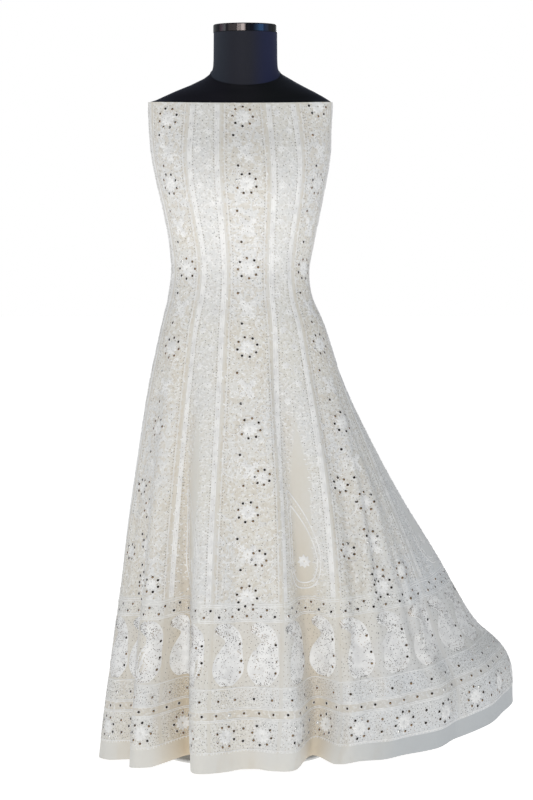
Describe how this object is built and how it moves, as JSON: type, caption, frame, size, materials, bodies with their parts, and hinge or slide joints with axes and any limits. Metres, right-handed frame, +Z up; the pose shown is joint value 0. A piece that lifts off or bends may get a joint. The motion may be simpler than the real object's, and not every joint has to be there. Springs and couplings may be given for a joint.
{
  "type": "anarkali gown on a dress form",
  "caption": "Sleeveless floor-length anarkali gown of long flared panels with a plain hem band, swept out to one side, on a limbless dress form with a pole and a round base.",
  "frame": {"origin": "centre of the underside of the dress form's round base, on the floor", "axes": "+Z up along the pole, +X towards the side that the skirt is swept out to (the viewer's right), +Y from the gown's front to its back, so the front faces -Y"},
  "size_m": [0.832, 0.6467, 1.459],
  "materials": {
    "embroidered_georgette": "matt ivory georgette with white thread embroidery and small mirrors",
    "hem_cloth": "plain cream band, soft sheen",
    "jersey": "matt black knitted jersey",
    "neck_cap": "dark polished metal",
    "pole": "satin steel tube",
    "base": "pale grey powder coat"
  },
  "bodies": {
    "root": {"kali_01_rose": "embroidered_georgette", "kali_02_vine": "embroidered_georgette", "kali_03_rose": "embroidered_georgette", "kali_04_vine": "embroidered_georgette", "kali_05_rose": "embroidered_georgette", "kali_06_vine": "embroidered_georgette", "kali_07_rose": "embroidered_georgette", "kali_08_vine": "embroidered_georgette", "kali_09_rose": "embroidered_georgette", "kali_10_vine": "embroidered_georgette", "kali_11_rose": "embroidered_georgette", "kali_12_vine": "embroidered_georgette", "hem_01": "hem_cloth", "hem_02": "hem_cloth", "hem_03": "hem_cloth", "hem_04": "hem_cloth", "hem_05": "hem_cloth", "hem_06": "hem_cloth", "hem_07": "hem_cloth", "hem_08": "hem_cloth", "hem_09": "hem_cloth", "hem_10": "hem_cloth", "hem_11": "hem_cloth", "hem_12": "hem_cloth", "form_torso": "jersey", "form_neck": "jersey", "form_neck_cap": "neck_cap", "form_pole": "pole", "form_base": "base"}
  },
  "joints": []
}
